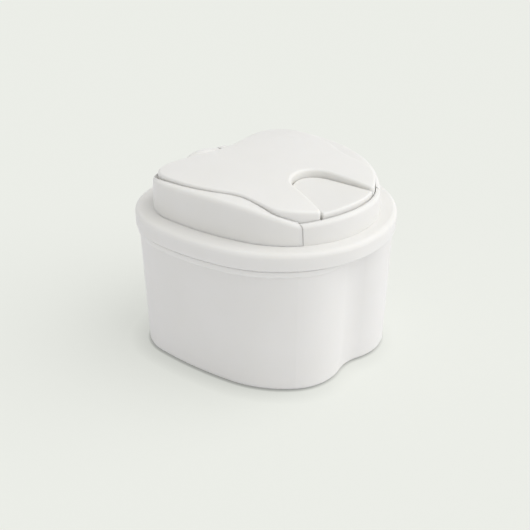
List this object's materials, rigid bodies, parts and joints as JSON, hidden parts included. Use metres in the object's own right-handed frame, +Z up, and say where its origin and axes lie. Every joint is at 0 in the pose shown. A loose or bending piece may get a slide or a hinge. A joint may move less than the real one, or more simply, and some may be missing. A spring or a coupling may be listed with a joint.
{
  "type": "denture case",
  "caption": "Lidded denture soaking case: drafted tub, strainer basket with bail handle, lift-off lid with a tooth-shaped hinged flap and push-button latch.",
  "frame": {"origin": "centre of the case's bounding box at the base", "axes": "+X to the right seen from the button side, +Y to the hinge at the back, +Z up"},
  "size_m": [0.09, 0.0903, 0.0692],
  "materials": {
    "tub_plastic": "fine satin",
    "lid_plastic": "fine satin",
    "flap_plastic": "fine satin",
    "button_plastic": "fine satin",
    "basket_plastic": "satin",
    "silicone": "matte silicone",
    "steel": "bright stainless"
  },
  "bodies": {
    "case": {"tub": "tub_plastic"},
    "basket": {"strainer_basket": "basket_plastic"},
    "handle": {"basket_handle": "basket_plastic"},
    "lid": {"lid_base": "lid_plastic", "lid_seal": "silicone", "surround": "lid_plastic", "surround_screws": "steel", "opening_seal": "silicone", "hinge_pin": "steel", "hinge_spring": "steel", "latch_cover": "lid_plastic", "cover_screws": "steel", "button_springs": "steel", "latch_spring": "steel"},
    "flap": {"flap_shell": "flap_plastic", "flap_liner": "flap_plastic"},
    "button": {"release_button": "button_plastic"},
    "latch": {"latch_slider": "lid_plastic"}
  },
  "joints": [
    {"name": "lid_lift", "type": "slide", "parent": "case", "child": "lid", "axis": [0, 0, 1], "range_m": [0, 0.12]},
    {"name": "basket_lift", "type": "slide", "parent": "case", "child": "basket", "axis": [0, 0, 1], "range_m": [0, 0.056]},
    {"name": "handle_swing", "type": "hinge", "parent": "basket", "child": "handle", "pos_m": [0, -0.002, 0.0406], "axis": [1, 0, 0], "range_deg": [0, 90]},
    {"name": "flap_hinge", "type": "hinge", "parent": "lid", "child": "flap", "pos_m": [0, 0.0374, 0.0596], "axis": [-1, 0, 0], "range_deg": [0, 105]},
    {"name": "button_press", "type": "slide", "parent": "lid", "child": "button", "axis": [0, 0, -1], "range_m": [0, 0.0016], "stiffness_N_per_m": 600, "springref_m": -0.001, "deforming": ["button_springs"]},
    {"name": "latch_slide", "type": "slide", "parent": "lid", "child": "latch", "axis": [0, -1, 0], "range_m": [0, 0.0016], "deforming": ["latch_spring"]}
  ],
  "couplings": [
    {"joint": "basket_lift", "follows": "lid_lift", "ratio": 0.46667},
    {"joint": "handle_swing", "follows": "lid_lift", "rad_per_m": 13.09},
    {"joint": "latch_slide", "follows": "button_press", "ratio": 1}
  ]
}
